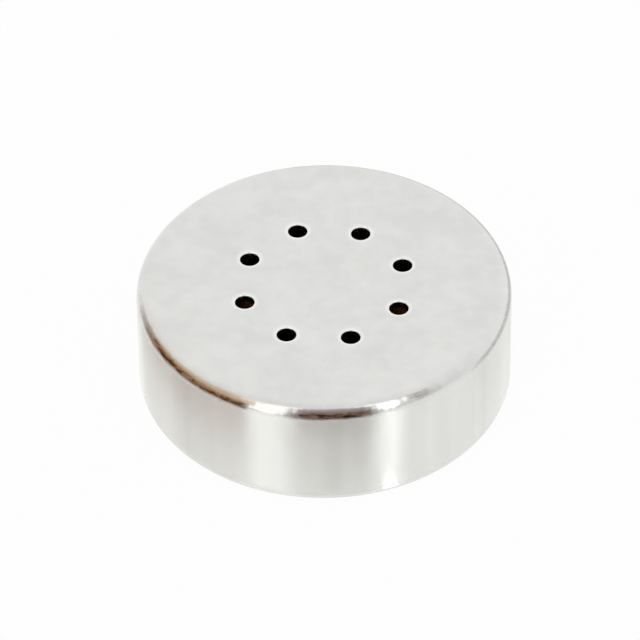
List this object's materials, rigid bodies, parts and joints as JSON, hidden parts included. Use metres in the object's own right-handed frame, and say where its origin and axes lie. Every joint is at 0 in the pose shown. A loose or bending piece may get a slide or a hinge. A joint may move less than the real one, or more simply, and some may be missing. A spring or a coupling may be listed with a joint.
{
  "type": "electret microphone capsule",
  "caption": "Low round electret microphone capsule: an aluminium can with a ring of sound holes in front, its rim rolled over a small circuit board with solder terminals at the back.",
  "frame": {"origin": "centre of the rolled rim, on the plane that the rim stands on", "axes": "+Z along the can's axis, out of the front face with the sound holes; the ground terminal lies on +X"},
  "size_m": [0.0098, 0.0096, 0.0032],
  "materials": {
    "can_aluminium": "satin, drawn",
    "ring_brass": "stamped",
    "metallised_film": "metallised film",
    "spacer_film": "clear polyester film",
    "electret_film": "clear fluoropolymer film",
    "backplate_nickel": "nickel plated",
    "holder_plastic": "moulded",
    "board_laminate": "green solder mask on glass laminate",
    "land_copper": "copper foil",
    "solder": "bright solder",
    "moulded_black": "moulded epoxy",
    "lead_tin": "tin plated",
    "capacitor_ceramic": "fired ceramic"
  },
  "bodies": {
    "root": {"can": "can_aluminium", "diaphragm_ring": "ring_brass", "diaphragm": "metallised_film", "spacer_ring": "spacer_film", "electret_film": "electret_film", "backplate": "backplate_nickel", "backplate_holder": "holder_plastic", "contact_ring": "ring_brass", "circuit_board": "board_laminate", "gate_land": "land_copper", "drain_land": "land_copper", "source_land": "land_copper", "ground_land": "land_copper", "output_land": "land_copper", "ground_via": "solder", "output_via": "solder", "ground_solder": "solder", "output_solder": "solder", "transistor_body": "moulded_black", "gate_lead": "lead_tin", "drain_lead": "lead_tin", "source_lead": "lead_tin", "capacitor_33pf": "capacitor_ceramic", "capacitor_33pf_ends": "lead_tin", "capacitor_10pf": "capacitor_ceramic", "capacitor_10pf_ends": "lead_tin"}
  },
  "joints": []
}
